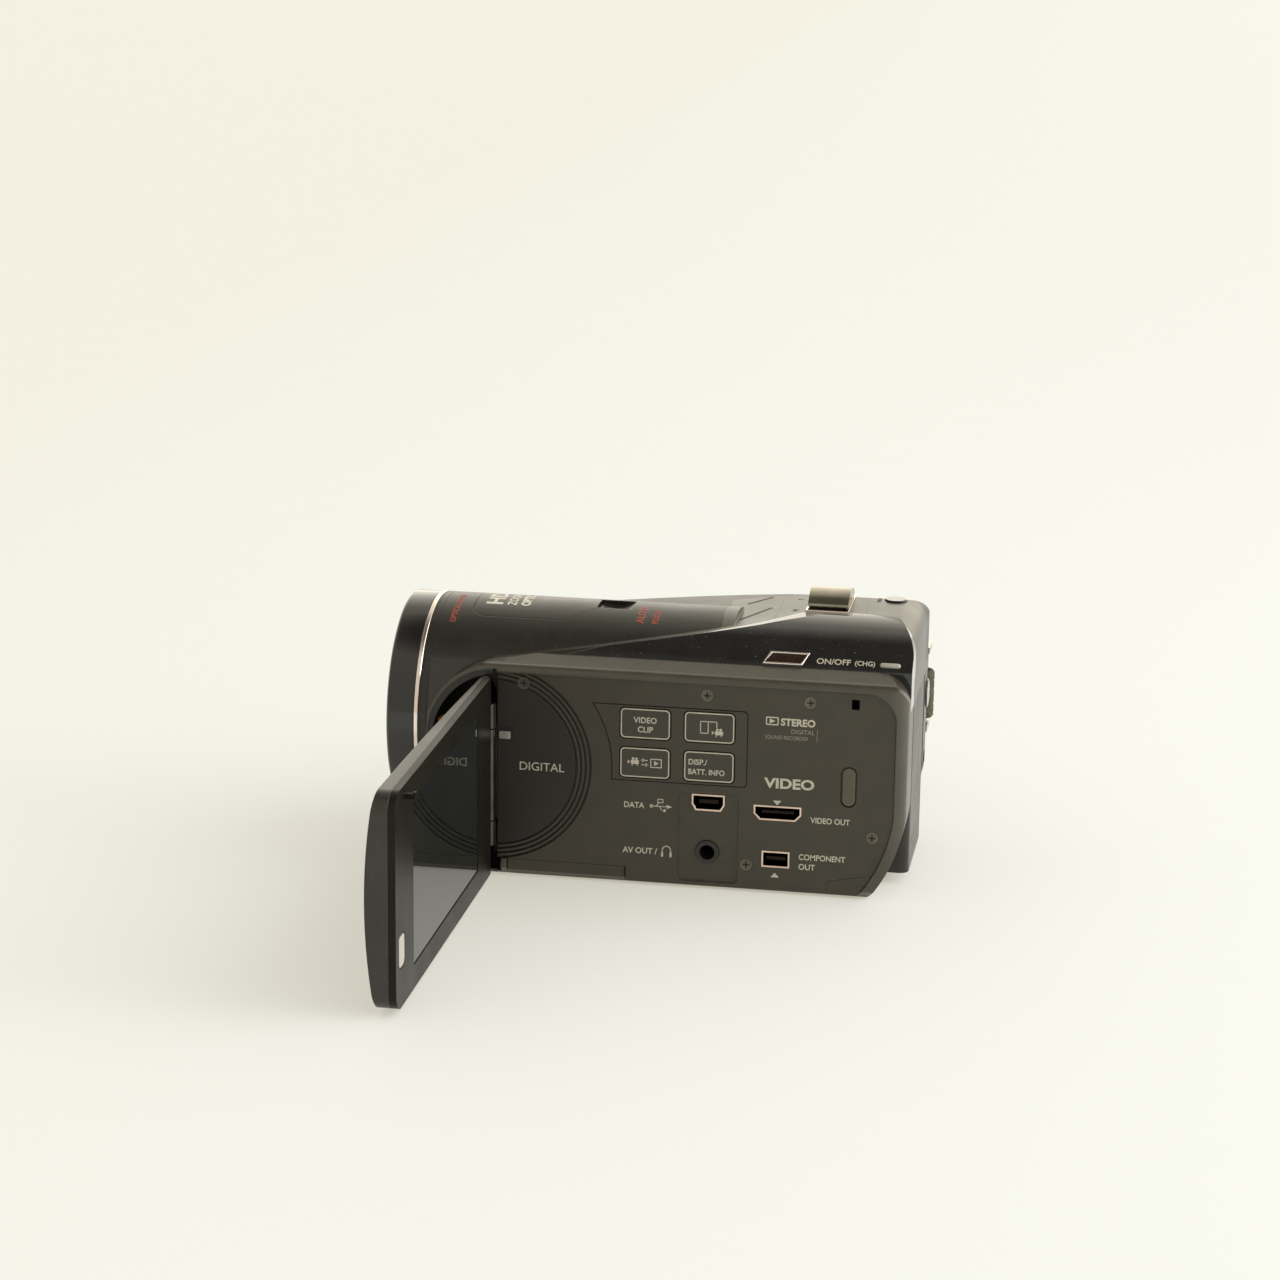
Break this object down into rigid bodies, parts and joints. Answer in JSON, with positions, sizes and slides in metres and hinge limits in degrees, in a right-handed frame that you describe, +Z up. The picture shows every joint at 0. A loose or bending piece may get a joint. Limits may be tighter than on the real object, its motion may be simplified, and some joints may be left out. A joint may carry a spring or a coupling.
{
  "type": "camcorder",
  "caption": "Compact handheld camcorder with a swing-out screen, open connector bay, hand strap and sliding battery.",
  "frame": {"origin": "mouth of the tripod socket, on the base plane", "axes": "+Z up, -X along the lens axis towards the subject, +Y towards the hand grip; the open screen stands out to -Y"},
  "size_m": [0.1245, 0.1833, 0.066],
  "materials": {
    "casing_matte": "fine matte texture",
    "casing_gloss": "high gloss",
    "bay_matte": "satin",
    "key_satin": "satin",
    "inner_plastic": "matte",
    "lens_tube_black": "matte",
    "chrome_trim": "polished",
    "lever_metal": "satin polished",
    "steel": "brushed",
    "port_metal": "bright",
    "screw_steel": "blackened",
    "socket_metal": "bright",
    "front_glass": "coated",
    "screen_glass": "polished",
    "board_green": "satin",
    "sensor_dark": "gloss",
    "webbing": "herringbone weave",
    "pad_fabric": "soft knit",
    "card_blue": "satin"
  },
  "bodies": {
    "camera": {"av_jack": "inner_plastic", "barrel_housing": "casing_matte", "base_plate": "casing_matte", "battery_bay": "inner_plastic", "bay_plate": "bay_matte", "card_slot": "inner_plastic", "casing_screws": "screw_steel", "chassis": "steel", "component_port": "port_metal", "control_deck": "casing_matte", "dc_jack": "inner_plastic", "deck_front_cover": "casing_matte", "deck_rear_cap": "casing_matte", "front_glass": "front_glass", "front_ring": "casing_gloss", "gloss_panel": "casing_gloss", "grip_casing": "casing_matte", "hinge_bracket": "steel", "hinge_pin": "steel", "hinge_well": "inner_plastic", "image_sensor": "sensor_dark", "key_plate": "bay_matte", "left_casing": "casing_matte", "lens_tube": "lens_tube_black", "main_board": "board_green", "microphone_grilles": "key_satin", "name_ring": "casing_gloss", "rear_frame": "casing_matte", "shoe_rails": "steel", "strap_lugs": "steel", "strap_pad": "pad_fabric", "strap_webbing": "webbing", "trim_ring": "chrome_trim", "tripod_socket": "socket_metal", "usb_port": "port_metal", "video_port": "port_metal", "zoom_frame": "chrome_trim"},
    "lcd_hinge": {"hinge_cover": "casing_matte", "hinge_frame": "steel"},
    "lcd_panel": {"lcd_back_cover": "casing_matte", "lcd_bezel": "casing_matte", "lcd_glass": "screen_glass", "lcd_module": "inner_plastic"},
    "lcd_record": {"lcd_record_button": "chrome_trim"},
    "clip_key": {"key_clip": "key_satin"},
    "play_key": {"key_play": "key_satin"},
    "mode_key": {"key_mode": "key_satin"},
    "display_key": {"key_display": "key_satin"},
    "power": {"power_button": "key_satin"},
    "photo": {"photo_button": "casing_gloss"},
    "start_stop": {"start_stop_button": "casing_gloss"},
    "zoom_rocker": {"zoom_lever": "lever_metal"},
    "battery_pack": {"battery": "casing_matte"},
    "latch": {"battery_latch": "casing_matte"},
    "shoe_lid": {"shoe_cover": "casing_matte"},
    "door": {"card_door": "casing_matte"},
    "card": {"memory_card": "card_blue"},
    "lens_upper": {"lens_cover_upper": "inner_plastic"},
    "lens_lower": {"lens_cover_lower": "inner_plastic"},
    "zoom_cell": {"zoom_group": "lens_tube_black"}
  },
  "joints": [
    {"name": "lcd_swing", "type": "hinge", "parent": "camera", "child": "lcd_hinge", "pos_m": [-0.0366, -0.0296, 0.02525], "axis": [0, 0, 1], "range_deg": [0, 90]},
    {"name": "lcd_tilt", "type": "hinge", "parent": "lcd_hinge", "child": "lcd_panel", "pos_m": [-0.0393, -0.038, 0.02525], "axis": [0, -1, 0], "range_deg": [-90, 180]},
    {"name": "lcd_record_press", "type": "slide", "parent": "lcd_panel", "child": "lcd_record", "axis": [-1, 0, 0], "range_m": [0, 0.0005], "stiffness_N_per_m": 500},
    {"name": "clip_key_press", "type": "slide", "parent": "camera", "child": "clip_key", "axis": [0, 1, 0], "range_m": [0, 0.0004], "stiffness_N_per_m": 500},
    {"name": "play_key_press", "type": "slide", "parent": "camera", "child": "play_key", "axis": [0, 1, 0], "range_m": [0, 0.0004], "stiffness_N_per_m": 500},
    {"name": "mode_key_press", "type": "slide", "parent": "camera", "child": "mode_key", "axis": [0, 1, 0], "range_m": [0, 0.0004], "stiffness_N_per_m": 500},
    {"name": "display_key_press", "type": "slide", "parent": "camera", "child": "display_key", "axis": [0, 1, 0], "range_m": [0, 0.0004], "stiffness_N_per_m": 500},
    {"name": "power_press", "type": "slide", "parent": "camera", "child": "power", "axis": [0, 0.6639, -0.7478], "range_m": [0, 0.0005], "stiffness_N_per_m": 500},
    {"name": "photo_press", "type": "slide", "parent": "camera", "child": "photo", "axis": [0, 0, -1], "range_m": [0, 0.0005], "stiffness_N_per_m": 500},
    {"name": "start_stop_press", "type": "slide", "parent": "camera", "child": "start_stop", "axis": [-1, 0, 0], "range_m": [0, 0.0005], "stiffness_N_per_m": 500},
    {"name": "zoom_rock", "type": "slide", "parent": "camera", "child": "zoom_rocker", "axis": [0, 1, 0], "range_m": [-0.0016, 0.0016], "stiffness_N_per_m": 300},
    {"name": "battery_slide", "type": "slide", "parent": "camera", "child": "battery_pack", "axis": [0, 0, -1], "range_m": [0, 0.01]},
    {"name": "latch_slide", "type": "slide", "parent": "camera", "child": "latch", "axis": [-1, 0, 0], "range_m": [0, 0.003], "stiffness_N_per_m": 200},
    {"name": "shoe_lid_lift", "type": "hinge", "parent": "camera", "child": "shoe_lid", "pos_m": [-0.045, -0.0016, 0.0612], "axis": [0, -1, 0], "range_deg": [0, 95]},
    {"name": "door_drop", "type": "hinge", "parent": "camera", "child": "door", "pos_m": [-0.0184, -0.007, 0.0008], "axis": [1, 0, 0], "range_deg": [0, 95]},
    {"name": "card_push", "type": "slide", "parent": "camera", "child": "card", "axis": [0, 0, -1], "range_m": [0, 0.0022]},
    {"name": "lens_cover_close", "type": "slide", "parent": "camera", "child": "lens_upper", "axis": [0, 0, -1], "range_m": [0, 0.0116]},
    {"name": "lens_cover_follow", "type": "slide", "parent": "camera", "child": "lens_lower", "axis": [0, 0, 1], "range_m": [0, 0.0116]},
    {"name": "zoom_travel", "type": "slide", "parent": "camera", "child": "zoom_cell", "axis": [1, 0, 0], "range_m": [0, 0.012]}
  ],
  "couplings": [
    {"joint": "lens_cover_follow", "follows": "lens_cover_close", "ratio": 1}
  ]
}
